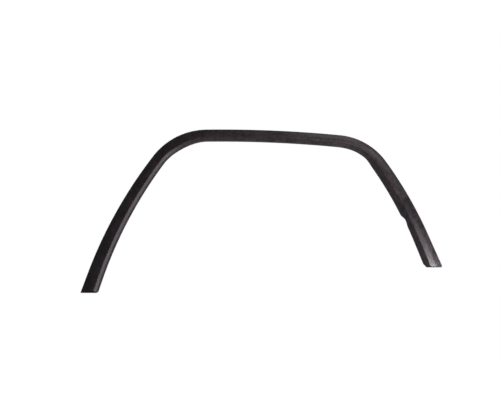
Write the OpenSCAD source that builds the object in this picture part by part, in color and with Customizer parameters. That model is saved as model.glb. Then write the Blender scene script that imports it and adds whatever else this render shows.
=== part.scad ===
// Wheel arch trim: one moulded strip that frames the wheel opening of a car's wing.
// X runs along the car, Y points into the wing and Z is up. The back of the trim lies
// on the plane Y = 0, and the outer edge is highest at X = 0.

/* [Outline] */
// Radius of the crown, the nearly flat stretch over the wheel
crown_r = 3450; // [2500:50:6000]
// Length of the crown on the left of its highest point
crown_left = 41; // [20:1:120]
// Length of the crown on the right of its highest point
crown_right = 330; // [250:1:400]
// Outer radius of the left corner
left_corner_r = 188; // [150:1:260]
// Angle that the left corner turns through
left_corner_turn = 51.5; // [40:0.5:58]
// Outer radius of the left leg, which bows outward
left_leg_r = 1242; // [1000:1:3000]
// Outer radius of the right corner
right_corner_r = 178; // [150:1:260]
// Angle that the right corner turns through
right_corner_turn = 48.4; // [40:0.1:56]
// Outer radius of the bowed part of the right leg
right_leg_r = 1097; // [900:1:3000]
// Height of the crown above the left end
left_drop = 453; // [400:1:520]
// Height of the crown above the right end
right_drop = 382; // [350:1:440]
// Length at the foot of the left leg that runs straight
left_straight = 60; // [40:1:90]
// Length at the foot of the right leg that runs straight
right_straight = 104; // [60:1:120]
// Radius that rounds the left foot's outer corner
left_foot_r = 2; // [1:0.5:4]
// Radius that rounds the right foot's outer corner
right_foot_r = 4; // [1:0.5:5]

/* [Face] */
// Width of the face at the crown, from the outer edge to the inner edge
crown_w = 30.5; // [28:0.5:40]
// Width of the face at the left end
left_end_w = 41.5; // [36:0.5:50]
// Width of the face at the right end
right_end_w = 41; // [36:0.5:50]
// How late the face widens towards the ends, where 1 is evenly
taper_power = 1.15; // [1:0.05:2]
// Extra width of the face in the left corner, where its inner edge cuts the bend
left_corner_gain = 2.2; // [-2:0.1:3]
// Extra width of the face in the right corner
right_corner_gain = -1.4; // [-2:0.1:3]
// Width of the bevel between the ridge and the inner edge
bevel_w = 8.5; // [8:0.5:14]
// Height of the ridge above the back plane
ridge_h = 13; // [11:0.5:18]
// Height of the inner edge, where the bevel meets the return flange
inner_edge_h = 5; // [4:0.5:7]
// Height of the outer edge
outer_edge_h = 3; // [2.5:0.5:4]
// Height of the face's bulge over its straight chord
bulge_h = 0.9; // [0.2:0.1:2]
// Radius that eases the bend in the middle of the face
face_r = 45; // [20:1:80]
// Radius along the ridge
ridge_r = 4; // [3:0.5:6]
// Radius along the inner edge
inner_edge_r = 3; // [2.8:0.1:4]
// Radius along the outer edge
outer_edge_r = 1.2; // [0.5:0.1:2]
// Wall thickness
wall = 2.5; // [2:0.1:3]
// Width of the flat land for foam tape, behind the outer edge
tape_w = 7; // [5:0.5:9]

/* [Return flange] */
// Depth of the return flange behind the back plane
flange_d = 18; // [14:0.5:24]
// Draft of the return flange, in degrees
flange_draft = 6; // [2:0.5:10]
// Depth of the flange at the lug on the right leg
lug_d = 31; // [26:0.5:40]
// Length of the lug along the right corner, before the leg starts
lug_lead = 50; // [30:1:80]
// Length of the lug along the right leg
lug_run = 153; // [120:1:180]
// Length over which the flange deepens into the lug
lug_rise = 45; // [30:1:60]
// Length of the ramp where the lug ends
lug_fall = 18; // [12:1:30]
// Depth of the flange in the relief below the lug
relief_d = 9; // [6:0.5:12]
// Length over which the flange comes back to its depth after the relief
relief_run = 26; // [20:1:50]
// Length of the chamfer on the flange at the left end
left_end_chamfer = 2; // [2:2:20]
// Length of the chamfer on the flange at the right end
right_end_chamfer = 14; // [8:1:20]

/* [End walls] */
// Slope of the left end wall, in degrees from square
left_end_slope = 30; // [0:1:40]
// Slope of the right end wall, in degrees from square
right_end_slope = 15; // [0:1:40]
// Thickness of the end walls
end_wall = 2.5; // [2:0.1:4]

/* [Clip towers] */
// Number of clip towers along the strip
clip_count = 8; // [6:1:9]
// Distance of the first and the last tower from the ends
clip_margin = 62; // [55:1:90]
// Length of a clip tower along the strip
clip_l = 24; // [20:1:30]
// Width of a clip tower across the strip
clip_w = 14; // [12:0.5:15]
// Thickness of the seat plate of a tower
clip_plate = 2; // [1.6:0.1:2.5]
// Width of the slot that holds the neck of a clip
clip_neck = 6; // [4:0.5:7]
// Thickness of the tower walls and ribs
rib_t = 1.8; // [1.4:0.1:2.2]

/* [Fixings] */
// Width of the screw slots in the flange
slot_w = 6; // [4.5:0.5:7]
// Length of the screw slots in the flange
slot_l = 11; // [9:0.5:14]
// Depth of the screw slots behind the back plane
slot_y = 9.5; // [8:0.5:11]
// Distance between the two screw bosses at the crown
boss_pitch = 110; // [90:5:130]
// Width of a screw boss around its slot
boss_margin = 3.5; // [2.5:0.5:5]
// Height of the lower screw boss above the flange
boss_rise = 2.5; // [1.5:0.5:5]
// Distance of the lower screw slot from the end of each leg
lower_screw = 85; // [70:1:100]
// Distance of the upper screw slot from the end of each leg
upper_screw = 262; // [230:1:280]
// Radius of a locating peg
peg_r = 3; // [2:0.5:4]
// Length of a locating peg behind the back plane
peg_l = 9; // [6:0.5:12]

/* [Hidden] */
trim_colour = "#2c292b";

// Turns the length of an arc into degrees
function degrees_of(length, r) = length / r * 180 / PI;

// Angle of the outline below level at the end of each stretch
left_crown_a = degrees_of(crown_left, crown_r);
left_corner_a = left_crown_a + left_corner_turn;
right_crown_a = degrees_of(crown_right, crown_r);
right_corner_a = right_crown_a + right_corner_turn;

// A stretch of outline is [radius, first angle, last angle]
function drop_of(r, a0, a1) = r * (cos(a0) - cos(a1));
function reach_of(r, a0, a1) = r * (sin(a1) - sin(a0));
function length_of(r, a0, a1) = r * (a1 - a0) * PI / 180;

// The bowed part of a leg ends where its straight foot takes up the rest of the drop
function foot_angle(r, a0, drop, straight, a = 70, tries = 12) =
    tries == 0 ? a :
    foot_angle(r, a0, drop, straight, acos(cos(a0) - (drop - straight * sin(a)) / r), tries - 1);
left_leg_drop = left_drop - drop_of(crown_r, 0, left_crown_a)
    - drop_of(left_corner_r, left_crown_a, left_corner_a);
right_leg_drop = right_drop - drop_of(crown_r, 0, right_crown_a)
    - drop_of(right_corner_r, right_crown_a, right_corner_a);
left_foot_a = foot_angle(left_leg_r, left_corner_a, left_leg_drop, left_straight);
right_foot_a = foot_angle(right_leg_r, right_corner_a, right_leg_drop, right_straight);
left_arcs = [
    [crown_r, 0, left_crown_a],
    [left_corner_r, left_crown_a, left_corner_a],
    [left_leg_r, left_corner_a, left_foot_a]
];
right_arcs = [
    [crown_r, 0, right_crown_a],
    [right_corner_r, right_crown_a, right_corner_a],
    [right_leg_r, right_corner_a, right_foot_a]
];

// Outline at a distance s from the highest point, as [reach, drop, angle]
function along(arcs, s, i = 0, x = 0, z = 0) =
    i == len(arcs)
    ? let (a = arcs[i - 1][2]) [x + s * cos(a), z + s * sin(a), a]
    : let (r = arcs[i][0], a0 = arcs[i][1], a1 = arcs[i][2], l = length_of(r, a0, a1))
      s > l
      ? along(arcs, s - l, i + 1, x + reach_of(r, a0, a1), z + drop_of(r, a0, a1))
      : let (a = a0 + degrees_of(s, r)) [x + reach_of(r, a0, a), z + drop_of(r, a0, a), a];
function side_of(s) = s < 0 ? -1 : 1;
function outline(s) = along(s < 0 ? left_arcs : right_arcs, abs(s));

// Lengths along the outline, negative on the left
function arc_lengths(arcs) = [for (arc = arcs) length_of(arc[0], arc[1], arc[2])];
left_corner_s = -arc_lengths(left_arcs)[0];
left_leg_s = left_corner_s - arc_lengths(left_arcs)[1];
left_foot_s = left_leg_s - arc_lengths(left_arcs)[2];
left_end_s = left_foot_s - left_straight;
right_corner_s = arc_lengths(right_arcs)[0];
right_leg_s = right_corner_s + arc_lengths(right_arcs)[1];
right_foot_s = right_leg_s + arc_lengths(right_arcs)[2];
right_end_s = right_foot_s + right_straight;
lug_start_s = right_leg_s - lug_lead;
lug_end_s = right_leg_s + lug_run;
relief_s = lug_end_s + lug_fall;
base_s = relief_s + relief_run;

// The origin lies in the middle of the tape land, at the highest point
apex_z = tape_w / 2;

// Place of a point that is u in from the outer edge and v in front of the back plane
function place(s, u, v) =
    let (p = outline(s), side = side_of(s))
    [side * (p[0] - u * sin(p[2])), -v, apex_z - p[1] - u * cos(p[2])];

// Face width at s: the crown is even, and both sides widen towards their ends
function widened(s, from, to, end_w) =
    crown_w + (end_w - crown_w) * pow(max(0, min(1, (s - from) / (to - from))), taper_power);
function swell(s, from, to) =
    let (t = (2 * s - from - to) / (to - from)) abs(t) < 1 ? (1 + cos(180 * t)) / 2 : 0;
function face_w(s) =
    s < 0
    ? widened(s, left_corner_s, left_end_s, left_end_w)
      + left_corner_gain * swell(s, left_corner_s, left_leg_s)
    : widened(s, right_corner_s, right_end_s, right_end_w)
      + right_corner_gain * swell(s, right_corner_s, right_leg_s);

// Flange depth at s: a lug and a relief on the right leg, and a chamfer at each end
function eased(t) = let (c = max(0, min(1, t))) c * c * (3 - 2 * c);
function ramp(s, s0, s1, d0, d1) = d0 + (d1 - d0) * eased((s - s0) / (s1 - s0));
function full_depth(s) =
    s < lug_end_s ? ramp(s, lug_start_s, lug_start_s + lug_rise, flange_d, lug_d)
    : s < relief_s ? ramp(s, lug_end_s, relief_s, lug_d, relief_d)
    : ramp(s, relief_s, base_s, relief_d, flange_d);
function flange_depth(s) =
    full_depth(s) * min(1, (s - left_end_s) / left_end_chamfer, (right_end_s - s) / right_end_chamfer);

// Corners of the section's front, as [u, v], from the outer edge to the flange's end
function front_corners(w, d) =
    let (ridge_u = w - bevel_w, mid_v = (outer_edge_h + ridge_h) / 2)
    [
        [0, 0], [0, outer_edge_h], [ridge_u / 2, mid_v + bulge_h * 2],
        [ridge_u, ridge_h], [w, inner_edge_h], [w + d * tan(flange_draft), -d]
    ];
front_radii = [0, outer_edge_r, face_r, ridge_r, inner_edge_r, 0];
front_steps = [0, 2, 4, 4, 4, 0];

// Line through a and b moved sideways by t, and the point where two such lines cross
function moved(a, b, t) =
    let (d = (b - a) / norm(b - a), n = [d[1], -d[0]]) [a + n * t, b + n * t];
function crossing(p, q) =
    let (r = p[1] - p[0], s = q[1] - q[0], k = q[0] - p[0])
    p[0] + r * ((k[0] * s[1] - k[1] * s[0]) / (r[0] * s[1] - r[1] * s[0]));
function at_u(line, u) =
    line[0] + (line[1] - line[0]) * ((u - line[0][0]) / (line[1][0] - line[0][0]));
function at_v(line, v) =
    line[0] + (line[1] - line[0]) * ((v - line[0][1]) / (line[1][1] - line[0][1]));

// Corners of the section's back, t behind the front, from the tape land to the flange's end
function back_corners(w, d, t) =
    let (c = front_corners(w, d),
        low = moved(c[1], c[2], t), high = moved(c[2], c[3], t),
        bevel = moved(c[3], c[4], t), flange = moved(c[4], c[4] + [tan(flange_draft), -1], t))
    [
        [tape_w, 0], at_u(low, tape_w), crossing(low, high), crossing(high, bevel),
        crossing(bevel, flange), at_v(flange, -d)
    ];
back_radii = [0, 0, face_r, ridge_r - wall, inner_edge_r - 0.88 * wall, 0];
back_steps = [0, 0, 3, 3, 2, 0];

// Rounds one corner b between a and c with an arc of radius r in n steps. Its tangents
// take up less than half of the shorter side, so the arc is smaller where the sides are short
function rounded(a, b, c, r, n) =
    n == 0 ? [b] :
    let (p = (a - b) / norm(a - b), q = (c - b) / norm(c - b), half = acos(p * q) / 2,
        reach = min(r / tan(half), 0.45 * min(norm(a - b), norm(c - b))),
        centre = b + (p + q) / norm(p + q) * (reach / cos(half)),
        from = b + p * reach - centre, to = b + q * reach - centre, sweep = 180 - 2 * half)
    [for (i = [0:n]) let (k = i / n)
        centre + (from * sin((1 - k) * sweep) + to * sin(k * sweep)) / sin(sweep)];
function smoothed(c, radii, steps) =
    [for (i = [0:len(c) - 1]) each
        rounded(c[max(0, i - 1)], c[i], c[min(len(c) - 1, i + 1)], radii[i], steps[i])];
function front_line(s) =
    smoothed(front_corners(face_w(s), flange_depth(s)), front_radii, front_steps);
function back_line(s) =
    smoothed(back_corners(face_w(s), flange_depth(s), wall), back_radii, back_steps);

// Stations along the strip, closer together where it bends or its flange changes
function spread(from, to, n) = [for (i = [0:n]) from + (to - from) * i / n];
function sorted(list) =
    len(list) < 2 ? list :
    let (pivot = list[floor(len(list) / 2)])
    concat(sorted([for (x = list) if (x < pivot) x]), [pivot], sorted([for (x = list) if (x > pivot) x]));
function thinned(list, gap) =
    [for (i = [0:len(list) - 1]) if (i == 0 || list[i] - list[i - 1] > gap) list[i]];
end_skew = 1.45 * right_end_w;
end_shares = [0, 0.035, 0.08, 0.14, 0.36, 0.56, 0.78, 1];
function end_stations(chamfer) = concat([for (k = end_shares) k * end_skew], [chamfer]);
stations = thinned(sorted(concat(
    [for (d = end_stations(left_end_chamfer)) left_end_s + d], spread(left_end_s + end_skew, left_leg_s, 13),
    spread(left_leg_s, left_corner_s, 24), spread(left_corner_s, 0, 2), spread(0, right_corner_s, 9),
    spread(right_corner_s, right_leg_s, 22), spread(lug_start_s, lug_start_s + lug_rise, 5),
    spread(right_leg_s, lug_end_s, 5), spread(lug_end_s, relief_s, 6), spread(relief_s, base_s, 5),
    spread(base_s, right_end_s - end_skew, 1),
    [for (d = end_stations(right_end_chamfer)) right_end_s - d])), wall / 8);

// Each end is cut level. The sections near it lean over, step by step, into the sloping cut
function lean(s, u, v, inset) =
    let (side = side_of(s), end = side < 0 ? left_end_s : right_end_s, a = outline(end)[2],
        slope = side < 0 ? left_end_slope : right_end_slope,
        share = max(0, 1 - abs(end - s) / end_skew),
        shift = (u * cos(a) + v * tan(slope) + inset) / sin(a))
    s - side * share * shift;
function ring(s, line, inset) = [for (p = line) place(lean(s, p[0], max(0, p[1]), inset), p[0], p[1])];

// The strip is one skin of front and back rings, closed at the land, the flange and the ends
module strip() {
    front = [for (s = stations) ring(s, front_line(s), 0)];
    back = [for (s = stations) ring(s, back_line(s), end_wall)];
    nf = len(front[0]);
    nb = len(back[0]);
    last = len(stations) - 1;
    back_start = nf * (last + 1);
    function f(i, j) = i * nf + j;
    function b(i, j) = back_start + i * nb + j;
    function quad(p, q, r, s) = [[p, q, r], [p, r, s]];
    faces = concat(
        [for (i = [0:last - 1], j = [0:nf - 2]) each quad(f(i, j), f(i + 1, j), f(i + 1, j + 1), f(i, j + 1))],
        [for (i = [0:last - 1], j = [0:nb - 2]) each quad(b(i, j), b(i, j + 1), b(i + 1, j + 1), b(i + 1, j))],
        [for (i = [0:last - 1]) each quad(f(i, 0), b(i, 0), b(i + 1, 0), f(i + 1, 0))],
        [for (i = [0:last - 1]) each quad(f(i, nf - 1), f(i + 1, nf - 1), b(i + 1, nb - 1), b(i, nb - 1))],
        [for (j = [1:nf - 2]) [f(0, 0), f(0, j), f(0, j + 1)]],
        [for (j = [1:nb - 2]) [b(0, 0), b(0, j + 1), b(0, j)]],
        [for (j = [1:nf - 2]) [f(last, 0), f(last, j + 1), f(last, j)]],
        [for (j = [1:nb - 2]) [b(last, 0), b(last, j), b(last, j + 1)]],
        quad(f(0, 0), f(0, nf - 1), b(0, nb - 1), b(0, 0)),
        quad(f(last, 0), b(last, 0), b(last, nb - 1), f(last, nf - 1)));
    polyhedron(points = concat([for (r = front) each r], [for (r = back) each r]), faces = faces);
}

// Puts a shape on the strip at s: its X runs along the strip, Y into the wing and Z to the outer edge
module at_station(s) {
    p = place(s, 0, 0);
    turn = side_of(s) * outline(s)[2];
    translate(p)
        rotate([0, turn, 0])
            children();
}

// A web under the face from u0 to u1, length l along the strip, rooted in the middle of the wall
module web(s, u0, u1, l, foot = []) {
    c = back_corners(face_w(s), full_depth(s), wall / 2);
    inside = [for (i = [1:len(c) - 1]) if (c[i][0] > u0 && c[i][0] < u1) c[i]];
    line = [for (i = [1:len(c) - 1]) c[i]];
    points = concat([[u0, 0], [u0, lookup(u0, line)]], inside, [[u1, lookup(u1, line)]], foot);
    translate([-l / 2, 0, 0])
        rotate([0, 90, 0])
            linear_extrude(height = l)
                polygon([for (p = points) [p[0], -p[1]]]);
}

// A clip tower: a seat plate on three walls, open towards the highest point of the trim,
// with a slot that the neck of a clip slides into
module clip_tower(s) {
    mid = (tape_w + face_w(s) - wall) / 2;
    u0 = mid - clip_w / 2;
    u1 = mid + clip_w / 2;
    out = side_of(s);
    at_station(s) {
        for (u = [u0, u1 - rib_t])
            web(s, u, u + rib_t, clip_l, [[u + rib_t, 0]]);
        translate([out * (clip_l - rib_t) / 2, 0, 0])
            web(s, u0, u1, rib_t, [[u1, 0]]);
        difference() {
            translate([-clip_l / 2, -clip_plate, -u1])
                cube([clip_l, clip_plate, clip_w]);
            translate([0, clip_plate, -mid])
                rotate([90, 0, 0])
                    cylinder(h = 3 * clip_plate, r = clip_neck / 2, $fn = 32);
            translate([-out * clip_l / 2, -clip_plate / 2, -mid])
                cube([clip_l, 3 * clip_plate, clip_neck], center = true);
        }
    }
}

// A cross rib that ties the face to the flange, with a sloping foot on the flange
module cross_rib(s) {
    w = face_w(s);
    c = back_corners(w, full_depth(s), wall / 2);
    root = at_v([c[4], c[5]], -flange_d / 3);
    at_station(s)
        web(s, tape_w - wall / 2, root[0], rib_t, [[w - bevel_w, 0]]);
}

// A locating peg with a pointed tip, on a round pillar that is rooted in the face
module locating_peg(s) {
    u = (tape_w + face_w(s) - wall) / 2;
    pillar_r = peg_r + wall;
    tip = peg_r / 2;
    at_station(s) {
        intersection() {
            web(s, u - pillar_r, u + pillar_r, 2 * pillar_r, [[u + pillar_r, 0]]);
            translate([0, 0, -u])
                rotate([90, 0, 0])
                    cylinder(h = 2 * ridge_h, r = pillar_r, $fn = 48);
        }
        translate([0, -wall, -u])
            rotate([-90, 0, 0]) {
                cylinder(h = wall + peg_l - tip, r = peg_r, $fn = 48);
                translate([0, 0, wall + peg_l - tip])
                    cylinder(h = tip, r1 = peg_r, r2 = peg_r - tip / 2, $fn = 48);
            }
    }
}

// A slot, long in X, with its middle at the origin and its depth along Z
module slot(l, w, h) {
    for (side = [-1, 1])
        translate([side * (l - w) / 2, 0, -h / 2])
            cylinder(h = h, r = w / 2, $fn = 32);
    translate([-(l - w) / 2, -w / 2, -h / 2])
        cube([l - w, w, h]);
}

clip_pitch = (right_end_s - left_end_s - 2 * clip_margin) / (clip_count - 1);
clip_s = [for (i = [0:clip_count - 1]) left_end_s + clip_margin + i * clip_pitch];
between_s = [for (i = [0:clip_count - 2]) clip_s[i] + clip_pitch / 2];
peg_places = [1, clip_count - 3];
function is_peg(i) = len(search(i, peg_places)) > 0;

// Screw bosses beside the rib at the crown. Both tops are level, so one bracket seats on the
// pair, and both roots follow the middle of the flange's wall
crown_rib_x = place(between_s[floor((clip_count - 1) / 2)], 0, 0)[0];
boss_x = [crown_rib_x - boss_pitch / 2, crown_rib_x + boss_pitch / 2];
function flange_z(x) = apex_z - crown_r * (1 - cos(asin(x / crown_r))) - crown_w - slot_y * tan(flange_draft);
boss_top_z = flange_z(boss_x[0]) + wall + boss_rise;
module screw_boss(x) {
    low = flange_z(x) - wall;
    difference() {
        translate([x, slot_y, (low + boss_top_z) / 2])
            slot(slot_l + 2 * boss_margin, slot_w + 2 * boss_margin, boss_top_z - low);
        translate([x, slot_y, flange_z(x) + wall / 2])
            rotate([-flange_draft, asin(x / crown_r), 0])
                translate([0, 0, -slot_l])
                    cube(2 * [slot_l, slot_l, slot_l], center = true);
    }
}

// Takes the sharp outer corner off a foot, between the outer edge and the level cut
module foot_corner(s, r) {
    out = side_of(s);
    a = outline(s)[2];
    p = place(s, 0, 0);
    reach = r / tan(a / 2);
    function foot_place(across, up) = [p[0] - out * across, p[2] + up];
    centre = foot_place(reach, r);
    upper = foot_place(reach * cos(a), reach * sin(a));
    lower = foot_place(reach, 0);
    clear = 2;
    translate([0, lug_d, 0])
        rotate([90, 0, 0])
            linear_extrude(height = lug_d + 2 * ridge_h)
                difference() {
                    polygon([
                        centre, centre + (upper - centre) * clear, foot_place(-reach * clear, -r * clear),
                        centre + (lower - centre) * clear
                    ]);
                    translate(centre)
                        circle(r = r, $fn = 48);
                }
}

module arch_trim() {
    color(trim_colour)
        difference() {
            union() {
                strip();
                for (s = clip_s)
                    clip_tower(s);
                for (i = [0:len(between_s) - 1])
                    if (is_peg(i))
                        locating_peg(between_s[i]);
                    else
                        cross_rib(between_s[i]);
                for (x = boss_x)
                    screw_boss(x);
            }
            for (x = boss_x)
                translate([x, slot_y, boss_top_z])
                    slot(slot_l, slot_w, crown_w);
            for (d = [lower_screw, upper_screw], s = [left_end_s + d, right_end_s - d])
                at_station(s)
                    translate([0, slot_y, -face_w(s)])
                        slot(slot_l, slot_w, 5 * wall);
            foot_corner(left_end_s, left_foot_r);
            foot_corner(right_end_s, right_foot_r);
        }
}

arch_trim();
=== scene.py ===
# %% [markdown]
# # A wheel arch trim
#
# This lesson dresses one moulded strip of black plastic that frames a car's wheel opening. The
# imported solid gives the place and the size. Here the same strip is made again with many more
# sections, so that light runs along it smoothly, and it gets its grained finish, a camera and
# lamps.

import math

import bmesh
import bpy
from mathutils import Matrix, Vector


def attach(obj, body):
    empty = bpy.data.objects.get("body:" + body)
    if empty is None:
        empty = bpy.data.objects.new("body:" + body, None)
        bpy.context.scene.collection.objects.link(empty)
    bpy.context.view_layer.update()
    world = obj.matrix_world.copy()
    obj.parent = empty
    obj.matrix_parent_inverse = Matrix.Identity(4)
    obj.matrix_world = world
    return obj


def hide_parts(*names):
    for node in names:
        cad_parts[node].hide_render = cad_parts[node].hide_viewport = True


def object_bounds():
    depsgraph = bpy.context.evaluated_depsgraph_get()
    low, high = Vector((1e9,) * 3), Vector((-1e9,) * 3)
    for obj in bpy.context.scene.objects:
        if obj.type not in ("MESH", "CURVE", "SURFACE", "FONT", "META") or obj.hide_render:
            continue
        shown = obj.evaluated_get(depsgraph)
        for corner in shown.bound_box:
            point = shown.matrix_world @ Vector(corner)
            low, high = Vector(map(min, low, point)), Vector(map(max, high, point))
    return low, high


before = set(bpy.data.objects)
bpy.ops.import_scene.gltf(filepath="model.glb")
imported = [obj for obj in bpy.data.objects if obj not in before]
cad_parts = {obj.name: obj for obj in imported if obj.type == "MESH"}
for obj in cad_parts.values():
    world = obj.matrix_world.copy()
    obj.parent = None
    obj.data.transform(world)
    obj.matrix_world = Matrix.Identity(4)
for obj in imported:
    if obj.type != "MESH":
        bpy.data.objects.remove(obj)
solid_box = [list(corner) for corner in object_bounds()]

# %% [markdown]
# The trim is seen square on, from outside the car and at about half its height. A camera that is
# 2.2 m away shows the depth of the return flange as a narrow dark line inside the arch, as a
# camera in a small studio does. The lens length follows from the width of the picture: 500
# pixels across at a distance of 794 pixels. The camera looks straight along Y, with no shift.

# %% Camera
PICTURE_WIDTH, VIEW_DISTANCE, SENSOR_WIDTH = 500, 794, 36
CAMERA_PLACE = (0.0803, -2.2, -0.2056)


def new_object(name, data):
    obj = bpy.data.objects.new(name, data)
    bpy.context.scene.collection.objects.link(obj)
    return obj


camera = new_object("camera", bpy.data.cameras.new("camera"))
camera.data.sensor_width = SENSOR_WIDTH
camera.data.lens = SENSOR_WIDTH * VIEW_DISTANCE / PICTURE_WIDTH
camera.location = CAMERA_PLACE
camera.rotation_euler = (math.radians(90), 0, 0)
bpy.context.scene.camera = camera
print("lens", round(camera.data.lens, 2), "mm")

# %% [markdown]
# All sizes of the trim below are in millimetres and are those of the solid. The outer edge is a
# chain of arcs that meet without a kink: a nearly flat crown, a corner and a bowed leg on each
# side, and a straight foot. Each arc is its radius with its first and last angle below level.

# %% Sizes of the outline
MM = 0.001
TAPE_W = 7
CROWN_R = 3450
LEFT_ARCS = [(CROWN_R, 0, 0.680906), (188, 0.680906, 52.180906), (1242, 52.180906, 69.366704)]
RIGHT_ARCS = [(CROWN_R, 0, 5.480468), (178, 5.480468, 53.880468), (1097, 53.880468, 65.917736)]
LEFT_STRAIGHT, RIGHT_STRAIGHT = 60, 104
TINY = 1e-9


def arc_length(arc):
    radius, start, end = arc
    return radius * math.radians(end - start)


left_corner, left_leg, left_foot = [-sum(map(arc_length, LEFT_ARCS[:n])) for n in (1, 2, 3)]
right_corner, right_leg, right_foot = [sum(map(arc_length, RIGHT_ARCS[:n])) for n in (1, 2, 3)]
left_end = left_foot - LEFT_STRAIGHT
right_end = right_foot + RIGHT_STRAIGHT
print("outline from", round(left_end, 1), "to", round(right_end, 1), "mm")


# %% Outline
def along(s):
    """Reach, drop and angle of the outer edge at a distance s from its highest point."""
    rest, reach, drop = abs(s), 0, 0
    for radius, start, end in LEFT_ARCS if s < 0 else RIGHT_ARCS:
        a, b = math.radians(start), math.radians(end)
        if rest <= radius * (b - a):
            b = a + rest / radius
        reach += radius * (math.sin(b) - math.sin(a))
        drop += radius * (math.cos(a) - math.cos(b))
        rest -= radius * (b - a)
        if rest <= TINY:
            return reach, drop, b
    return reach + rest * math.cos(b), drop + rest * math.sin(b), b


def edge_point(s):
    """The point of the outer edge at a distance s, in the frame of the solid."""
    reach, drop, _ = along(s)
    return Vector((-reach if s < 0 else reach, 0, TAPE_W / 2 - drop))


feet = [[round(v) for v in edge_point(end)] for end in (left_end, right_end)]
print("feet at", *feet)

# %% [markdown]
# The face is narrowest along the crown and widens down both legs, a little late, as a moulded
# flare does. Inside it, a return flange turns back towards the wheel. On the right leg the flange
# has a deeper lug with a relief below it, which shows as the small step in the inner line.

# %% Width of the face and depth of the flange
CROWN_W, LEFT_END_W, RIGHT_END_W = 30.5, 41.5, 41
TAPER_POWER = 1.15
LEFT_CORNER_GAIN, RIGHT_CORNER_GAIN = 2.2, -1.4
FLANGE_D, LUG_D, RELIEF_D = 18, 31, 9
LUG_LEAD, LUG_RUN, LUG_RISE, LUG_FALL, RELIEF_RUN = 50, 153, 45, 18, 26
LEFT_CHAMFER, RIGHT_CHAMFER = 2, 14


def clamped(x):
    return max(0.0, min(1.0, x))


def face_width(s):
    """Width of the face, with a little more or less in the middle of a corner."""
    corner, leg, end, end_w, gain = (
        (left_corner, left_leg, left_end, LEFT_END_W, LEFT_CORNER_GAIN) if s < 0
        else (right_corner, right_leg, right_end, RIGHT_END_W, RIGHT_CORNER_GAIN))
    width = CROWN_W + (end_w - CROWN_W) * clamped((s - corner) / (end - corner)) ** TAPER_POWER
    t = (2 * s - corner - leg) / (leg - corner)
    return width + (gain * (1 + math.cos(math.pi * t)) / 2 if abs(t) < 1 else 0)


def ramp(s, start, end, low, high):
    """A smooth step from low to high between two distances."""
    t = clamped((s - start) / (end - start))
    return low + (high - low) * t * t * (3 - 2 * t)


def flange_depth(s):
    """Depth of the flange, which runs out to nothing over a chamfer at each foot."""
    rise, fall = right_leg - LUG_LEAD, right_leg + LUG_RUN
    if s < fall:
        depth = ramp(s, rise, rise + LUG_RISE, FLANGE_D, LUG_D)
    elif s < fall + LUG_FALL:
        depth = ramp(s, fall, fall + LUG_FALL, LUG_D, RELIEF_D)
    else:
        depth = ramp(s, fall + LUG_FALL, fall + LUG_FALL + RELIEF_RUN, RELIEF_D, FLANGE_D)
    return depth * clamped(min((s - left_end) / LEFT_CHAMFER, (right_end - s) / RIGHT_CHAMFER))


for s in (left_end, left_leg, 0, right_leg, right_end):
    print("at", round(s), "face", round(face_width(s), 1), "flange", round(flange_depth(s), 1))

# %% [markdown]
# The section is one closed line of twelve corners, each with its own radius. Its front runs from
# the outer edge over the crowned face and the ridge, down the bevel and along the flange. Its
# back follows 2.5 mm behind, down to the flat land for the foam tape. A moulding has no truly
# sharp edge, so even the smallest corners get a radius here, which catches a thin line of light.

# %% Section
OUTER_EDGE_H, INNER_EDGE_H, RIDGE_H, BEVEL_W, BULGE_H = 3, 5, 13, 8.5, 0.9
WALL, DRAFT = 2.5, math.tan(math.radians(6))


def moved(a, b, t):
    """The line from a to b, moved by t towards the back."""
    d = (b - a).normalized()
    n = Vector((d.y, -d.x)) * t
    return a + n, b + n


def crossing(p, q):
    """The point where two lines cross."""
    r, s, k = p[1] - p[0], q[1] - q[0], q[0] - p[0]
    return p[0] + r * (k.cross(s) / r.cross(s))


def section_corners(w, d):
    """Sharp corners of front and back for a face of width w and a flange of depth d."""
    ridge = w - BEVEL_W
    front = [Vector(c) for c in (
        (0, 0), (0, OUTER_EDGE_H), (ridge / 2, (OUTER_EDGE_H + RIDGE_H) / 2 + 2 * BULGE_H),
        (ridge, RIDGE_H), (w, INNER_EDGE_H), (w + d * DRAFT, -d))]
    low, high, bevel = [moved(front[n], front[n + 1], WALL) for n in (1, 2, 3)]
    flange = moved(front[4], front[4] + Vector((DRAFT, -1)), WALL)
    slope = (low[1].y - low[0].y) / (low[1].x - low[0].x)
    back = [Vector((flange[0].x + (flange[0].y + d) * DRAFT, -d)), crossing(bevel, flange),
            crossing(high, bevel), crossing(low, high),
            Vector((TAPE_W, low[0].y + (TAPE_W - low[0].x) * slope)), Vector((TAPE_W, 0))]
    return front, back


crown_corners = section_corners(CROWN_W, FLANGE_D)[0]
print("section at the crown:", [(round(c.x, 1), round(c.y, 1)) for c in crown_corners])

# %% Rounding of the section
FRONT_RADII, FRONT_STEPS = (0.4, 1.2, 45, 4, 3, 0.6), (2, 5, 7, 9, 8, 3)
BACK_RADII, BACK_STEPS = (0.6, 0.8, 1.5, 45, 0.4, 0.4), (3, 3, 5, 5, 2, 2)
MOST_OF_SIDE = 0.45


def rounded(a, b, c, radius, steps):
    """Points of an arc that replaces corner b between a and c."""
    p, q = (a - b).normalized(), (c - b).normalized()
    half = math.acos(max(-1, min(1, p.dot(q)))) / 2
    reach = min(radius / math.tan(half), MOST_OF_SIDE * min((a - b).length, (c - b).length))
    centre = b + (p + q).normalized() * (reach / math.cos(half))
    start, end, sweep = b + p * reach - centre, b + q * reach - centre, math.pi - 2 * half
    shares = [n / steps for n in range(steps + 1)]
    return [centre + (start * math.sin((1 - k) * sweep) + end * math.sin(k * sweep))
            / math.sin(sweep) for k in shares]


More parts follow.
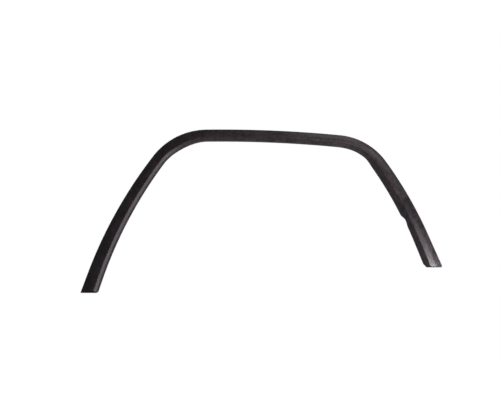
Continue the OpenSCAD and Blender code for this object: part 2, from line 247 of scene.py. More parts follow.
def section(s):
    """Front and back line of the section at a distance s, with every corner rounded."""
    front, back = section_corners(face_width(s), flange_depth(s))
    loop, lines = front + back, []
    for first, radii, steps in (
            (0, FRONT_RADII, FRONT_STEPS), (len(front), BACK_RADII, BACK_STEPS)):
        line = []
        for i, (radius, count) in enumerate(zip(radii, steps), first):
            line += rounded(loop[i - 1], loop[i], loop[(i + 1) % len(loop)], radius, count)
        lines.append(line)
    return lines


front_line, back_line = section(0)
print("points in a section:", len(front_line), "+", len(back_line))

# %% [markdown]
# The strip is first laid out straight, as a blank: X is the distance along the outer edge, Y the
# distance inwards from it and Z the height towards the viewer. Sections stand 3 mm apart, and
# closer where the flange steps or the strip ends. At both ends the front and the back are closed
# by a wall, and three close sections round its rim.

# %% Straight blank
END_WALL, RIM_R = 2.5, 0.5
GAP, LEFT_FOOT_GAP, LUG_GAP, RIGHT_FOOT_GAP = 3.0, 0.5, 1.5, 2
LUG_MARGIN = 4
RIM = ((0, RIM_R), (0.3 * RIM_R, 0.3 * RIM_R), (RIM_R, 0))


def spaced(start, end, gap):
    """Even distances from start to just before end, about a gap apart."""
    count = max(1, round((end - start) / gap))
    return [start + (end - start) * n / count for n in range(count)]


def shrunk(line, inset):
    """Moves a section line inwards by the inset, for the round rim of an end."""
    out = []
    for n, p in enumerate(line):
        d = line[min(n + 1, len(line) - 1)] - line[max(n - 1, 0)]
        out.append(p + Vector((d.y, -d.x)).normalized() * inset)
    return out


lug_end = right_leg + LUG_RUN
gaps_from = [
    (left_end + RIM_R, LEFT_FOOT_GAP), (left_end + LEFT_CHAMFER, GAP),
    (lug_end - LUG_MARGIN, LUG_GAP), (lug_end + LUG_FALL + LUG_MARGIN, GAP),
    (right_end - RIGHT_CHAMFER, RIGHT_FOOT_GAP), (right_end - RIM_R, 0)]
stations = [s for (start, gap), (end, _) in zip(gaps_from, gaps_from[1:])
            for s in spaced(start, end, gap)]
left_rim = [(left_end + ds, inset) for ds, inset in RIM[:2]]
right_rim = [(right_end - ds, inset) for ds, inset in reversed(RIM)]
rings = left_rim + [(s, 0) for s in stations] + right_rim
print(len(rings), "sections")


# %% Mesh of the blank
def mesh_of(name, points, faces):
    """A mesh from points in millimetres."""
    mesh = bpy.data.meshes.new(name)
    mesh.from_pydata([tuple(c * MM for c in p) for p in points], [], faces)
    mesh.update()
    return mesh


def blank_mesh():
    """The closed skin of the straight strip, whose last faces are the two end walls."""
    front = [shrunk(section(s)[0], inset) if inset else section(s)[0] for s, inset in rings]
    back = [section(s)[1] for s, _ in rings]
    count, front_n, back_n = len(rings), len(front[0]), len(back[0])

    def f(ring, n):
        """Number of a point of the front."""
        return ring * front_n + n

    def b(ring, n):
        """Number of a point of the back."""
        return count * front_n + ring * back_n + n

    points = [(s, p.x, p.y) for lines in (front, back)
              for (s, _), line in zip(rings, lines) for p in line]
    faces = []
    for i in range(count - 1):
        faces += [(f(i, j), f(i + 1, j), f(i + 1, j + 1), f(i, j + 1)) for j in range(front_n - 1)]
        faces += [(b(i, j), b(i + 1, j), b(i + 1, j + 1), b(i, j + 1)) for j in range(back_n - 1)]
        faces.append((f(i, front_n - 1), f(i + 1, front_n - 1), b(i + 1, 0), b(i, 0)))
        faces.append((b(i, back_n - 1), b(i + 1, back_n - 1), f(i + 1, 0), f(i, 0)))
    for i in (0, count - 1):
        faces.append([f(i, j) for j in range(front_n)])
        faces.append([b(i, j) for j in range(back_n)])
        faces.append((f(i, 0), f(i, front_n - 1), b(i, 0), b(i, back_n - 1)))
    mesh = mesh_of("arch_trim_blank", points, faces)
    inset = mesh.attributes.new("wall_inset", "FLOAT", "POINT")
    inset.data.foreach_set("value", [0.0] * (count * front_n) + [END_WALL * MM] * (count * back_n))
    # The end walls get a mark for painted shade: the finish gives them a darker colour and no
    # gloss.
    outside, inside, underside = 1.0, 0.0, 1.0
    end_walls = [outside, inside, underside] * 2
    painted_shade = mesh.attributes.new("painted_shade", "FLOAT", "FACE")
    painted_shade.data.foreach_set("value", [0.0] * (len(faces) - len(end_walls)) + end_walls)
    return mesh


trim = new_object("arch_trim_moulding", blank_mesh())
print("blank:", len(trim.data.vertices), "points,", len(trim.data.polygons), "faces")

# %% [markdown]
# The finish comes before the bending, because each Geometry Nodes tree ends by setting it. The
# real plastic is black with a trace of brown and violet, and has a soft, half-matt sheen. Its
# mould was etched, which leaves a grain of pits half a millimetre across: a cell pattern, with a
# finer speckle in between. The melt leaves marks as it flows. Broad clouds and smaller streaks
# change the tint a little along the strip, and the streaks also the gloss and the level of the
# surface. All patterns lie in Object coordinates.
#
# Seen at a low angle, the sides of the pits shade one another, so a Layer Weight node fades the
# gloss there. Without that, the flange and the bevel would mirror a white sky. The end walls,
# which the blank marks with a face attribute, get painted shade: a darker colour and no gloss,
# which stand in for the shade on the downward-facing ends of the feet.

# %% Helpers for node trees
def put(tree, kind, wires=None, **settings):
    """Adds a node, with its settings, and connects or sets its inputs."""
    node = tree.nodes.new(kind)
    for name, value in settings.items():
        setattr(node, name, value)
    for key, value in (wires or {}).items():
        if isinstance(value, bpy.types.NodeSocket):
            tree.links.new(value, node.inputs[key])
        else:
            node.inputs[key].default_value = value
    return node


def calc(tree, operation, a, b=0.0, c=0.0):
    return put(tree, "ShaderNodeMath", {0: a, 1: b, 2: c}, operation=operation).outputs[0]


def noise(tree, where, scale, detail, roughness=0.5):
    return put(tree, "ShaderNodeTexNoise", {
        "Vector": where, "Scale": scale, "Detail": detail, "Roughness": roughness}).outputs[0]


def mixed(tree, share, a, b):
    """A colour between a and b."""
    return put(tree, "ShaderNodeMix", {0: share, 6: a, 7: b}, data_type="RGBA").outputs[2]


def mapped(tree, value, start, end, low=0.0, high=1.0):
    """Low at the start of a range and below it, high at its end and above it."""
    node = put(tree, "ShaderNodeMapRange", {0: value, 1: start, 2: end, 3: low, 4: high})
    return node.outputs[0]


# %% Grained plastic
DARK_TINT, PALE_TINT = (0.0050, 0.0040, 0.0048, 1), (0.0156, 0.0115, 0.0128, 1)
# Painted shade: a darker colour for the end walls of the feet, standing in for the shade on them.
PAINTED_SHADE_TINT = (0.004, 0.0035, 0.0038, 1)
CLOUDS_PER_M, STREAKS_PER_M, PITS_PER_M, SPECKS_PER_M = 14.0, 90.0, 1900.0, 4200.0
STREAK_RANGE, TINT_RANGE = (0.35, 0.65), (0.8, 1.2)
SMOOTHEST, ROUGHEST = 0.27, 0.37
WAVE_H, PIT_H, PIT_STRENGTH, PIT_SOFTNESS, SPECKLE_SHARE = 0.00014, 0.00012, 0.25, 0.6, 0.35
FADE_START, FADE_END = 0.4, 0.7
FULL_GLOSS, FADED_GLOSS = 0.08, 0.0015


def grained_plastic():
    mat = bpy.data.materials.new("grained_black_plastic")
    mat.use_nodes = True
    tree = mat.node_tree
    shader = tree.nodes["Principled BSDF"]
    where = put(tree, "ShaderNodeTexCoord").outputs["Object"]
    # Mask of the end walls, which get painted shade.
    painted_shade_mask = put(tree, "ShaderNodeAttribute", attribute_name="painted_shade").outputs["Fac"]

    clouds = noise(tree, where, CLOUDS_PER_M, detail=5.0, roughness=0.62)
    streaks = noise(tree, where, STREAKS_PER_M, detail=4.0, roughness=0.6)
    depth = mapped(tree, calc(tree, "ADD", clouds, streaks), *TINT_RANGE)
    tint = mixed(tree, painted_shade_mask, mixed(tree, depth, DARK_TINT, PALE_TINT), PAINTED_SHADE_TINT)
    tree.links.new(tint, shader.inputs["Base Color"])
    roughness = mapped(tree, streaks, *STREAK_RANGE, SMOOTHEST, ROUGHEST)
    tree.links.new(roughness, shader.inputs["Roughness"])

    waves = put(tree, "ShaderNodeBump", {"Strength": 1.0, "Distance": WAVE_H, "Height": streaks})
    pits = put(tree, "ShaderNodeTexVoronoi", {
        "Vector": where, "Scale": PITS_PER_M, "Smoothness": PIT_SOFTNESS}, feature="SMOOTH_F1")
    specks = noise(tree, where, SPECKS_PER_M, detail=2.0)
    height = calc(tree, "MULTIPLY_ADD", specks, SPECKLE_SHARE, pits.outputs["Distance"])
    grain = put(tree, "ShaderNodeBump", {
        "Strength": PIT_STRENGTH, "Distance": PIT_H, "Height": height, "Normal": waves.outputs[0]})
    tree.links.new(grain.outputs[0], shader.inputs["Normal"])

    away = put(tree, "ShaderNodeLayerWeight", {"Blend": 0.5}).outputs["Facing"]
    gloss = mapped(tree, away, FADE_START, FADE_END, FULL_GLOSS, FADED_GLOSS)
    # The painted shade also takes all gloss off the end walls.
    gloss = calc(tree, "MULTIPLY", gloss, calc(tree, "SUBTRACT", 1.0, painted_shade_mask))
    tree.links.new(gloss, shader.inputs["Specular IOR Level"])
    return mat


plastic = grained_plastic()
print("finish:", plastic.name, "with", len(plastic.node_tree.nodes), "nodes")

# %% [markdown]
# The outline is a line of short straight pieces, one a millimetre, that only guides the bending.
# A Geometry Nodes tree reads it as a curve. For each point of the blank it finds the place on
# the curve at the point's distance, goes inwards and forwards from there, and so bends the
# straight blank into the arch. Close to an end, a point first slides along the strip, which turns
# the square end of the blank into the level, sloping cut of a foot.

# %% Guide line
GUIDE_STEPS = 1460
guide_points = [edge_point(left_end + n * (right_end - left_end) / GUIDE_STEPS) * MM
                for n in range(GUIDE_STEPS + 1)]
guide_mesh = bpy.data.meshes.new("outline_guide")
guide_mesh.from_pydata(guide_points, [(n, n + 1) for n in range(GUIDE_STEPS)], [])
guide = new_object("outline_guide", guide_mesh)
print("guide:", len(guide_points), "points")


# %% Tree that bends the blank
def new_tree(name, inputs):
    """A Geometry Nodes tree with named inputs, its input node and its output node."""
    tree = bpy.data.node_groups.new(name, "GeometryNodeTree")
    sockets = tree.interface
    sockets.new_socket("Geometry", in_out="INPUT", socket_type="NodeSocketGeometry")
    for label, kind in inputs:
        sockets.new_socket(label, in_out="INPUT", socket_type="NodeSocket" + kind)
    sockets.new_socket("Geometry", in_out="OUTPUT", socket_type="NodeSocketGeometry")
    return tree, tree.nodes.new("NodeGroupInput"), tree.nodes.new("NodeGroupOutput")


def vector_calc(tree, operation, a, b):
    second = "Scale" if operation == "SCALE" else 1
    return put(tree, "ShaderNodeVectorMath", {0: a, second: b}, operation=operation).outputs[0]


def attribute(tree, name, kind):
    node = put(tree, "GeometryNodeInputNamedAttribute", {"Name": name}, data_type=kind)
    return node.outputs[0]


def own_place(tree):
    """X, Y and Z of the point itself."""
    here = put(tree, "GeometryNodeInputPosition").outputs[0]
    return put(tree, "ShaderNodeSeparateXYZ", {0: here}).outputs


def follow(tree, given, station, inwards):
    """Place on the outline at a station, moved inwards, with the outline's direction there."""
    line = put(tree, "GeometryNodeObjectInfo", {"Object": given.outputs["Outline"]})
    curve = put(tree, "GeometryNodeMeshToCurve", {"Mesh": line.outputs["Geometry"]})
    length = calc(tree, "SUBTRACT", station, given.outputs["Left end"])
    spot = put(tree, "GeometryNodeSampleCurve", {"Curves": curve.outputs[0], "Length": length},
               mode="LENGTH")
    inner = vector_calc(tree, "CROSS_PRODUCT", (0, 1, 0), spot.outputs["Tangent"])
    inner = vector_calc(tree, "SCALE", inner, inwards)
    return vector_calc(tree, "ADD", spot.outputs["Position"], inner), spot.outputs["Tangent"]


def slide_of(tree, given, s, u, v):
    """How far a point slides along the strip, and towards which end, to make a foot's cut."""
    left = put(tree, "FunctionNodeCompare", {0: s, 1: 0.0}, operation="LESS_THAN").outputs[0]
    end, angle, slope = [
        put(tree, "GeometryNodeSwitch", {
            "Switch": left, "False": given.outputs["Right " + label],
            "True": given.outputs["Left " + label]}, input_type="FLOAT").outputs[0]
        for label in ("end", "foot angle", "cut slope")]
    gap = calc(tree, "ABSOLUTE", calc(tree, "SUBTRACT", end, s))
    used = calc(tree, "DIVIDE", gap, given.outputs["Lean reach"])
    share = calc(tree, "MAXIMUM", calc(tree, "SUBTRACT", 1.0, used), 0.0)
    sideways = calc(tree, "MULTIPLY", u, calc(tree, "COSINE", angle))
    forwards = calc(tree, "MULTIPLY", calc(tree, "MAXIMUM", v, 0.0), calc(tree, "TANGENT", slope))
    rise = calc(tree, "ADD", forwards, attribute(tree, "wall_inset", "FLOAT"))
    rise = calc(tree, "ADD", sideways, rise)
    slide = calc(tree, "MULTIPLY", calc(tree, "DIVIDE", rise, calc(tree, "SINE", angle)), share)
    return calc(tree, "MULTIPLY", calc(tree, "SIGN", end), slide)


def bending_tree():
    tree, given, result = new_tree("bend_along_outline", [
        ("Outline", "Object"), ("Left end", "Float"), ("Right end", "Float"),
        ("Lean reach", "Float"), ("Left foot angle", "Float"), ("Right foot angle", "Float"),
        ("Left cut slope", "Float"), ("Right cut slope", "Float"), ("Finish", "Material")])
    s, u, v = own_place(tree)
    station = calc(tree, "SUBTRACT", s, slide_of(tree, given, s, u, v))
    place, _ = follow(tree, given, station, u)
    forwards = put(tree, "ShaderNodeCombineXYZ", {"Y": calc(tree, "MULTIPLY", v, -1.0)}).outputs[0]
    place = vector_calc(tree, "ADD", place, forwards)
    bent = put(tree, "GeometryNodeSetPosition", {
        "Geometry": given.outputs["Geometry"], "Position": place})
    whole = put(tree, "GeometryNodeRealizeInstances", {"Geometry": bent.outputs[0]})
    done = put(tree, "GeometryNodeSetMaterial", {
        "Geometry": whole.outputs[0], "Material": given.outputs["Finish"]})
    tree.links.new(done.outputs[0], result.inputs[0])
    return tree


bend = bending_tree()
print("tree", bend.name, "has", len(bend.nodes), "nodes")

# %% Run a tree and keep its mesh
LEAN_REACH = 1.45 * RIGHT_END_W
LEFT_CUT_SLOPE, RIGHT_CUT_SLOPE = math.radians(30), math.radians(15)


def keep_result(obj):
    """Makes what an object's modifier shows its own plain mesh, and removes the modifier."""
    graph = bpy.context.evaluated_depsgraph_get()
    graph.update()
    made = bpy.data.meshes.new_from_object(obj.evaluated_get(graph))
    obj.modifiers.clear()
    obj.data = made


def run_tree(obj, tree, values):
    """Puts the tree on the object, sets its named inputs and keeps the result."""
    modifier = obj.modifiers.new(tree.name, "NODES")
    modifier.node_group = tree
    inputs = [item for item in tree.interface.items_tree if item.in_out == "INPUT"]
    names = {item.name: item.identifier for item in inputs}
    for label, value in values.items():
        modifier[names[label]] = value
    keep_result(obj)


def face_outwards(mesh):
    shell = bmesh.new()
    shell.from_mesh(mesh)
    bmesh.ops.recalc_face_normals(shell, faces=shell.faces)
    shell.to_mesh(mesh)
    shell.free()


OUTLINE = {"Outline": guide, "Left end": left_end * MM, "Finish": plastic}
run_tree(trim, bend, {
    **OUTLINE, "Right end": right_end * MM, "Lean reach": LEAN_REACH * MM,
    "Left foot angle": along(left_end)[2], "Right foot angle": along(right_end)[2],
    "Left cut slope": LEFT_CUT_SLOPE, "Right cut slope": RIGHT_CUT_SLOPE})
face_outwards(trim.data)
print("bent strip:", [round(size, 4) for size in trim.dimensions], "m")

# %% [markdown]
# Behind the face, out of sight on the car, stand the fixings: eight clip towers, five cross ribs
# and two locating pegs. They repeat along the outline, so a second tree sets them out. Each is
# built once, upright and short, and the tree puts a copy at every mark, turned with the strip.
# The copies differ only in height, because the face above them is crowned. So the tree looks from
# each top point straight to the inside of the face and lifts the point until it is rooted in it.

# %% Parts of the fixings
SHORT_H = 3.0
CLIP_L, CLIP_W, CLIP_PLATE, CLIP_NECK, RIB_T = 24, 14, 2, 6, 1.8
CLIP_STEPS, NECK_STEP = 8, 15


def let_grow(mesh, grows):
    """Marks the points of a piece that the tree may lift."""
    mesh.attributes.new("grows", "BOOLEAN", "POINT").data.foreach_set("value", grows)
    return mesh


def wall_piece(name, outer, inner, bottom=None, top=None):
    """A wall between two lines of (along, outwards) points. Without a top it may grow."""
    count = len(outer)
    low = bottom or [0.0] * count
    high = -SHORT_H if top is None else top
    points = [(x, y, z) for line in (outer, inner) for (x, z), y in zip(line, low)]
    points += [(x, high, z) for x, z in outer + inner]
    out_low, in_low, out_high, in_high = 0, count, 2 * count, 3 * count
    last = count - 1
    faces = [(out_low, in_low, in_high, out_high),
             (out_low + last, out_high + last, in_high + last, in_low + last)]
    for k in range(last):
        m = k + 1
        faces += [(out_low + k, out_low + m, in_low + m, in_low + k),
                  (out_high + k, in_high + k, in_high + m, out_high + m),
                  (out_low + k, out_high + k, out_high + m, out_low + m),
                  (in_low + k, in_low + m, in_high + m, in_high + k)]
    grows = [False] * (2 * count) + [top is None] * (2 * count)
    return let_grow(mesh_of(name, points, faces), grows)


half_l, half_w, neck_r = CLIP_L / 2, CLIP_W / 2, CLIP_NECK / 2
across = [half_w * (2 * k / CLIP_STEPS - 1) for k in range(CLIP_STEPS + 1)]
inner_w = half_w - RIB_T
inner_across = [z * inner_w / half_w for z in across]
tower_walls = wall_piece(
    "tower_walls", [(half_l, -half_w)] + [(-half_l, z) for z in across] + [(half_l, half_w)],
    [(half_l, -inner_w)] + [(RIB_T - half_l, z) for z in inner_across] + [(half_l, inner_w)])
plate_rim = ([(0, -half_w), (-half_l / 2, -half_w)] + [(-half_l, z) for z in across]
             + [(-half_l / 2, half_w), (0, half_w)])
neck_angles = [math.radians(a) for a in range(-90, 91, NECK_STEP)]
neck = [(-neck_r * math.cos(a), neck_r * math.sin(a)) for a in neck_angles]
seat_plate = wall_piece(
    "seat_plate", [(half_l, -half_w)] + plate_rim + [(half_l, half_w)],
    [(half_l, -neck_r)] + neck + [(half_l, neck_r)], top=-CLIP_PLATE)
print("tower:", len(tower_walls.polygons) + len(seat_plate.polygons), "faces")

# %% Rib and peg
RIB_FOOT, RIB_BITE, RIB_STEPS = FLANGE_D / 3, 0.4, 16
PEG_R, PEG_L, PEG_CORE_R = 3, 9, 2.7
PEG_COLLAR_R, COLLAR_EDGE = PEG_R + WALL, 0.3
PEG_TIP = [(PEG_R, PEG_L - 1.5), (PEG_R - 0.75, PEG_L - 0.15), (PEG_R - 1, PEG_L)]


def turned(name, profile, sides=40):
    """A piece turned round the Y axis from a profile of (radius, height) points."""
    points, faces, rows = [], [], []
    angles = [2 * math.pi * n / sides for n in range(sides)]
    for r, y in profile:
        row = angles if r else angles[:1]
        rows.append([len(points) + n for n in range(len(row))])
        points += [(r * math.cos(a), y, r * math.sin(a)) for a in row]
    for a, b in zip(rows, rows[1:]):
        for n in range(sides):
            m = (n + 1) % sides
            corners = [a[n % len(a)], a[m % len(a)], b[m % len(b)], b[n % len(b)]]
            faces.append(list(dict.fromkeys(corners)))
    return let_grow(mesh_of(name, points, faces), [p[1] == -SHORT_H for p in points])


rib_start, rib_end = TAPE_W - WALL / 2, CROWN_W - WALL / 2 + RIB_BITE
rib_u = [rib_start + k * (rib_end - rib_start) / RIB_STEPS for k in range(RIB_STEPS + 1)]
rib_foot = [RIB_FOOT * clamped((u - CROWN_W + BEVEL_W) / (BEVEL_W - WALL / 2)) for u in rib_u]
cross_rib = wall_piece(
    "cross_rib", [(RIB_T / 2, -u) for u in rib_u], [(-RIB_T / 2, -u) for u in rib_u], rib_foot)
locating_peg = turned("locating_peg", [
    (0, -SHORT_H), (PEG_CORE_R, -SHORT_H), (PEG_COLLAR_R, -SHORT_H), (PEG_COLLAR_R, -COLLAR_EDGE),
    (PEG_COLLAR_R - COLLAR_EDGE, 0), (PEG_R, 0), *PEG_TIP, (0, PEG_L)])
print("rib:", len(cross_rib.polygons), "faces, peg:", len(locating_peg.polygons), "faces")

# %% Tree that sets out the fixings
RAY_START, RAY_LENGTH = -0.2 * MM, 20 * MM


def setting_out_tree():
    tree, given, result = new_tree("set_out_along_outline", [
        ("Outline", "Object"), ("Left end", "Float"), ("Piece", "Object"), ("Skin", "Object"),
        ("Root depth", "Float"), ("Finish", "Material")])
    place, direction = follow(
        tree, given, attribute(tree, "station", "FLOAT"), attribute(tree, "inwards", "FLOAT"))
    spots = put(tree, "GeometryNodeSetPosition", {
        "Geometry": given.outputs["Geometry"], "Position": place})
    turn = put(tree, "FunctionNodeAxesToRotation", {
        "Primary Axis": direction, "Secondary Axis": (0, 1, 0)},
        primary_axis="X", secondary_axis="Y")
    piece = put(tree, "GeometryNodeObjectInfo", {"Object": given.outputs["Piece"]})
    copies = put(tree, "GeometryNodeInstanceOnPoints", {
        "Points": spots.outputs[0], "Instance": piece.outputs["Geometry"],
        "Rotation": turn.outputs[0], "Scale": attribute(tree, "stretch", "FLOAT_VECTOR")})
    whole = put(tree, "GeometryNodeRealizeInstances", {"Geometry": copies.outputs[0]})

    x, _, z = own_place(tree)
    start = put(tree, "ShaderNodeCombineXYZ", {"X": x, "Y": RAY_START, "Z": z})
    skin = put(tree, "GeometryNodeObjectInfo", {"Object": given.outputs["Skin"]})
    ray = put(tree, "GeometryNodeRaycast", {
        "Target Geometry": skin.outputs["Geometry"], "Source Position": start.outputs[0],
        "Ray Direction": (0, -1, 0), "Ray Length": RAY_LENGTH})
    facing = put(tree, "ShaderNodeSeparateXYZ", {0: ray.outputs["Hit Normal"]}).outputs[1]
    lifted = put(tree, "FunctionNodeCompare", {0: facing, 1: 0.0}, operation="GREATER_THAN")
    for needed in (ray.outputs["Is Hit"], attribute(tree, "grows", "BOOLEAN")):
        lifted = put(tree, "FunctionNodeBooleanMath", {0: needed, 1: lifted.outputs[0]},
                     operation="AND")
    depth = calc(tree, "MULTIPLY", given.outputs["Root depth"], -1.0)
    root = put(tree, "ShaderNodeCombineXYZ", {"Y": depth}).outputs[0]
    grown = put(tree, "GeometryNodeSetPosition", {
        "Geometry": whole.outputs[0], "Selection": lifted.outputs[0],
        "Position": vector_calc(tree, "ADD", ray.outputs["Hit Position"], root)})
    done = put(tree, "GeometryNodeSetMaterial", {
        "Geometry": grown.outputs[0], "Material": given.outputs["Finish"]})
    tree.links.new(done.outputs[0], result.inputs[0])
    return tree


set_out = setting_out_tree()
print("tree", set_out.name, "has", len(set_out.nodes), "nodes")

# %% Set out the fixings
CLIP_COUNT, CLIP_MARGIN = 8, 62
PEG_PLACES = (1, CLIP_COUNT - 3)
ROOT_DEPTH = 1.0


def hollow_middle(s):
    """Distance inwards to the middle of the hollow behind the face."""
    return (TAPE_W + face_width(s) - WALL) / 2


def set_out_pieces(name, piece_mesh, marks):
    """Copies of a piece at marks of (station, inwards, stretch), as one object."""
    row_mesh = mesh_of(name, [(0, 0, 0)] * len(marks), [])
    for n, label in enumerate(("station", "inwards")):
        numbers = row_mesh.attributes.new(label, "FLOAT", "POINT")
        numbers.data.foreach_set("value", [m[n] * MM for m in marks])
    stretch = row_mesh.attributes.new("stretch", "FLOAT_VECTOR", "POINT")
    stretch.data.foreach_set("vector", [c for m in marks for c in m[2]])
    piece, row = new_object(name + "_pattern", piece_mesh), new_object(name, row_mesh)
    run_tree(row, set_out, {
        **OUTLINE, "Piece": piece, "Skin": trim, "Root depth": ROOT_DEPTH * MM})
    bpy.data.objects.remove(piece)
    face_outwards(row.data)
    print(name, len(marks), "copies,", len(row.data.polygons), "faces")
    return row


clip_pitch = (right_end - left_end - 2 * CLIP_MARGIN) / (CLIP_COUNT - 1)
clip_s = [left_end + CLIP_MARGIN + n * clip_pitch for n in range(CLIP_COUNT)]
between_s = [s + clip_pitch / 2 for s in clip_s[:-1]]
rib_s = [s for n, s in enumerate(between_s) if n not in PEG_PLACES]
peg_s = [between_s[n] for n in PEG_PLACES]
tower_marks = [(s, hollow_middle(s), (1 if s < 0 else -1, 1, 1)) for s in clip_s]
rib_marks = [(s, 0, (1, 1, face_width(s) / CROWN_W)) for s in rib_s]
peg_marks = [(s, hollow_middle(s), (1, 1, 1)) for s in peg_s]
fixings = [set_out_pieces("tower_walls", tower_walls, tower_marks),
           set_out_pieces("seat_plates", seat_plate, tower_marks),
           set_out_pieces("cross_ribs", cross_rib, rib_marks),
           set_out_pieces("locating_pegs", locating_peg, peg_marks)]

# %% [markdown]
# Two bosses with slots stand on the flange at the crown, and each leg has two slots for screws.
# Both shapes are the same stadium, drawn once: a row of points round two half circles. The boss
# tops are level, and the slots go right through.

# %% Bosses and slots
SLOT_W, SLOT_L, SLOT_Y = 6, 11, 9.5
BOSS_MARGIN, BOSS_RISE, BOSS_PITCH = 3.5, 2.5, 110
BOSS_W, BOSS_L = SLOT_W + 2 * BOSS_MARGIN, SLOT_L + 2 * BOSS_MARGIN
LOWER_SCREW, UPPER_SCREW = 85, 262
BOSS_CUT, LEG_CUT = 15, 6


def prism(name, points):
    """A block between two equal rings of points, which follow each other in the list."""
    count = len(points) // 2
    faces = [(n, (n + 1) % count, count + (n + 1) % count, count + n) for n in range(count)]
    faces += [list(range(count)), list(range(count, 2 * count))]
    obj = new_object(name, mesh_of(name, points, faces))
    face_outwards(obj.data)
    obj.data.materials.append(plastic)
    return obj


def stadium(name, length, width, centre, turn, low, high, sides=12):
    """A block with round ends, long in X, its axis along Z, turned about Y round a centre."""
    reach, r = (length - width) / 2, width / 2
    ring = [(side * (reach + r * math.cos(a)), side * r * math.sin(a)) for side in (1, -1)
            for a in (math.pi * (n / sides - 0.5) for n in range(sides + 1))]
    c, t = math.cos(turn), math.sin(turn)
    return prism(name, [(x * c + z * t + centre[0], y + centre[1], z * c - x * t + centre[2])
                        for z in (low, high) for x, y in ring])


def flange_z(x):
    """Height of the crown's flange at a place x, where the slots are."""
    crown_drop = CROWN_R * (1 - math.cos(math.asin(x / CROWN_R)))
    return TAPE_W / 2 - crown_drop - CROWN_W - SLOT_Y * DRAFT


crown_rib_x = edge_point(between_s[(CLIP_COUNT - 1) // 2])[0]
boss_x = [crown_rib_x - BOSS_PITCH / 2, crown_rib_x + BOSS_PITCH / 2]
boss_top = flange_z(boss_x[0]) + WALL + BOSS_RISE
bosses = [stadium(f"boss_{n}", BOSS_L, BOSS_W, (x, SLOT_Y, boss_top), 0,
                  flange_z(x) - boss_top + 0.5 * WALL, 0) for n, x in enumerate(boss_x)]
cutters = [stadium(f"boss_slot_{n}", SLOT_L, SLOT_W, (x, SLOT_Y, boss_top), 0, -BOSS_CUT, BOSS_CUT)
           for n, x in enumerate(boss_x)]
leg_screw_s = [left_end + LOWER_SCREW, left_end + UPPER_SCREW,
               right_end - UPPER_SCREW, right_end - LOWER_SCREW]
for n, s in enumerate(leg_screw_s):
    turn = along(s)[2] * (-1 if s < 0 else 1)
    p, w = edge_point(s), face_width(s)
    centre = (p[0] - w * math.sin(turn), SLOT_Y, p[2] - w * math.cos(turn))
    cutters.append(stadium(f"leg_slot_{n}", SLOT_L, SLOT_W, centre, turn, -LEG_CUT, LEG_CUT))
print("bosses:", len(bosses), "slots:", len(cutters))

# %% [markdown]
# The outer corner of each foot is rounded right through the strip, 2 mm on the left and 4 mm on
# the right. This radius joins the outer edge to the level cut of the foot, so no section of the
# strip holds it. A cutter with a hollow side makes it instead, in the same step as the slots.

# %% Foot corners
LEFT_FOOT_R, RIGHT_FOOT_R = 2, 4


def foot_corner(name, end, r, steps=16):
    """A cutter that rounds the outer corner of a foot, a prism through the whole depth."""
    corner, turn, out = edge_point(end), along(end)[2], -1 if end < 0 else 1
    reach = r / math.tan(turn / 2)
    angles = [(math.pi - turn) * n / steps for n in range(steps + 1)]
    arc = [(reach - r * math.sin(t), r - r * math.cos(t)) for t in angles]
    last_x, last_z = arc[-1]
    ring = arc + [(2 * last_x - reach, 2 * last_z - r), (-2 * reach, -2 * r), (reach, -r)]
    return prism(name, [(corner[0] - out * x, y, corner[2] + z)
                        for y in (-2 * RIDGE_H, LUG_D) for x, z in ring])


corner_cutters = [foot_corner("left_foot_corner", left_end, LEFT_FOOT_R),
                  foot_corner("right_foot_corner", right_end, RIGHT_FOOT_R)]
print("foot corners:", LEFT_FOOT_R, "and", RIGHT_FOOT_R, "mm")

# %% [markdown]
# The bosses and the fixings are united with the strip, and the slots and the foot corners are cut
# out of it. The result is one closed skin, because the real trim leaves its mould in one piece.

# %% Unite and cut
def combine(obj, others, operation):
    for other in others:
        modifier = obj.modifiers.new(operation.lower(), "BOOLEAN")
        modifier.operation = operation
        modifier.object = other
        modifier.solver = "MANIFOLD"
        keep_result(obj)
        bpy.data.objects.remove(other)


before = len(trim.data.polygons)
combine(trim, fixings + bosses, "UNION")
combine(trim, cutters + corner_cutters, "DIFFERENCE")
bpy.data.objects.remove(guide)
print("moulding:", before, "faces before,", len(trim.data.polygons), "after")

# %% [markdown]
# Every face is shaded smooth, and an edge stays crisp only where two faces meet at more than 35
# degrees. Faces that got more than four corners from the cuts are split into triangles, which
# keeps their shading even.

# %% Finish the mesh
WELD_DISTANCE = 0.002 * MM
CRISP_ANGLE = math.radians(35)
mesh = trim.data
shell = bmesh.new()
shell.from_mesh(mesh)
bmesh.ops.remove_doubles(shell, verts=shell.verts, dist=WELD_DISTANCE)
bmesh.ops.triangulate(shell, faces=[f for f in shell.faces if len(f.verts) > 4])
open_edges = sum(1 for e in shell.edges if len(e.link_faces) != 2)
volume = shell.calc_volume()
shell.to_mesh(mesh)
shell.free()
mesh.materials.clear()
mesh.materials.append(plastic)
for polygon in mesh.polygons:
    polygon.use_smooth = True
    polygon.material_index = 0
mesh.set_sharp_from_angle(angle=CRISP_ANGLE)
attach(trim, "root")
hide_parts("arch_trim")
print("open edges:", open_edges, "volume:", round(volume * 1e6, 2), "cm3,",
      len(mesh.polygons), "faces")

# %% [markdown]
# The trim is shown on pure white. It hangs in the picture and its feet end at different heights,
# so nothing stands on the floor, which lies 1 m below the lower foot. The floor and the sky take
# their white from Light Path: where the camera, a reflection or a glass sees them they glow at a
# strength of about 1, and only the soft light that they throw on the trim is weaker. The floor
# adds a little real diffuse white, so that a faint shadow can stay on it.

# %% Floor and sky
FLOOR_DROP, FLOOR_REACH = 1.0, 8
FLOOR_WHITE, FLOOR_SHADE, FLOOR_GLOW = (0.8, 0.8, 0.8, 1), (0.16, 0.16, 0.16, 1), 0.98
SKY_LIGHT, SKY_SEEN, WHITE = 0.2, 1.0, (1, 1, 1, 1)


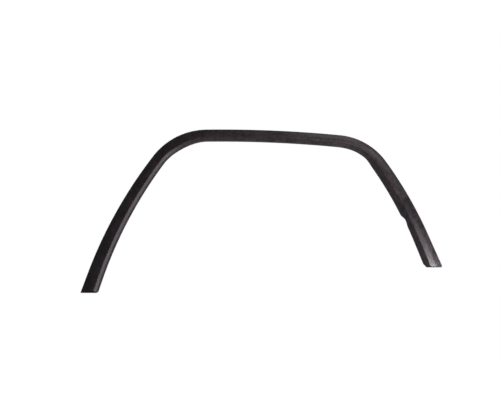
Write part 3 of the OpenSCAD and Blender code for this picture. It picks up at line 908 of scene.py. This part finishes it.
def seen(tree):
    """1 where a surface is seen directly, in a reflection or through glass."""
    path = put(tree, "ShaderNodeLightPath")
    shown = calc(tree, "MAXIMUM", path.outputs["Is Camera Ray"], path.outputs["Is Glossy Ray"])
    return calc(tree, "MAXIMUM", shown, path.outputs["Is Transmission Ray"])


floor_z = solid_box[0][2] - FLOOR_DROP
floor_mesh = bpy.data.meshes.new("floor")
floor_mesh.from_pydata([(x * FLOOR_REACH, y * FLOOR_REACH, floor_z) for x, y in (
    (-1, -1), (1, -1), (1, 1), (-1, 1))], [], [(0, 1, 2, 3)])
floor = new_object("floor", floor_mesh)
pale = bpy.data.materials.new("pale_floor")
pale.use_nodes = True
tree = pale.node_tree
tree.nodes.clear()
plain = put(tree, "ShaderNodeBsdfDiffuse", {"Color": FLOOR_WHITE})
shadow = put(tree, "ShaderNodeBsdfDiffuse", {"Color": FLOOR_SHADE})
glow = put(tree, "ShaderNodeEmission", {"Color": WHITE, "Strength": FLOOR_GLOW})
bright = put(tree, "ShaderNodeAddShader", {0: shadow.outputs[0], 1: glow.outputs[0]})
both = put(tree, "ShaderNodeMixShader", {0: seen(tree), 1: plain.outputs[0], 2: bright.outputs[0]})
put(tree, "ShaderNodeOutputMaterial", {"Surface": both.outputs[0]})
floor.data.materials.append(pale)

world = bpy.data.worlds.new("sky")
bpy.context.scene.world = world
world.use_nodes = True
tree = world.node_tree
tree.nodes.clear()
dim = put(tree, "ShaderNodeBackground", {"Color": WHITE, "Strength": SKY_LIGHT})
white = put(tree, "ShaderNodeBackground", {"Color": WHITE, "Strength": SKY_SEEN})
sky = put(tree, "ShaderNodeMixShader", {0: seen(tree), 1: dim.outputs[0], 2: white.outputs[0]})
put(tree, "ShaderNodeOutputWorld", {"Surface": sky.outputs[0]})
print("floor at", round(floor_z, 4), "m")

# %% [markdown]
# Black plastic shows little of its own colour. What the eye reads is the light that its slopes
# send back. A large soft lamp stands low on the right, in front: it lights the bevel of the left
# leg and leaves the face of the left leg dark. Four weaker ones beside it, above it, over the
# crown and in front keep the crown and the right leg from going black. A small lamp with a narrow
# beam makes the bright end of the right foot. A large one behind lights the back, for views from
# that side.

# %% Lamps
MIDDLE, MIDDLE_RIGHT, RIGHT_FOOT = (0.1, 0, -0.2), (0.35, 0, -0.15), (0.61, 0, -0.41)
NARROW_BEAM = math.radians(40)


def soft_lamp(name, place, aim, size, power, colour=(1, 1, 1)):
    """A square lamp of a size in metres and a power in watts, turned towards its aim."""
    data = bpy.data.lights.new(name, "AREA")
    data.shape = "SQUARE"
    data.size = size
    data.energy = power
    data.color = colour
    lamp = new_object(name, data)
    lamp.location = place
    lamp.rotation_euler = (Vector(aim) - Vector(place)).to_track_quat("-Z", "Y").to_euler()
    return lamp


soft_lamp("low_right_lamp", (0.95, -0.5, -1.2), MIDDLE_RIGHT, 0.8, 38, (1.0, 0.90, 1.02))
soft_lamp("right_lamp", (1.2, -0.8, -0.4), MIDDLE_RIGHT, 0.4, 17)
soft_lamp("high_right_lamp", (0.95, -0.5, 0.4), MIDDLE_RIGHT, 0.32, 4.0)
soft_lamp("overhead_lamp", (0.5, -0.3, 0.6), MIDDLE_RIGHT, 0.4, 3.8, (1.0, 0.93, 0.96))
soft_lamp("front_lamp", (0.6, -1.3, 0.5), MIDDLE_RIGHT, 0.4, 11)
foot_lamp = soft_lamp(
    "right_foot_lamp", (0.77, -0.28, -0.42), RIGHT_FOOT, 0.12, 0.34, (0.95, 1.0, 1.05))
foot_lamp.data.spread = NARROW_BEAM
soft_lamp("back_lamp", (-0.6, 2.0, 1.3), MIDDLE, 0.8, 140)
bpy.context.scene.view_settings.view_transform = "Standard"

# %% [markdown]
# The last cell prints the box of the solid.

# %% Box of the solid
print("solid", solid_box)
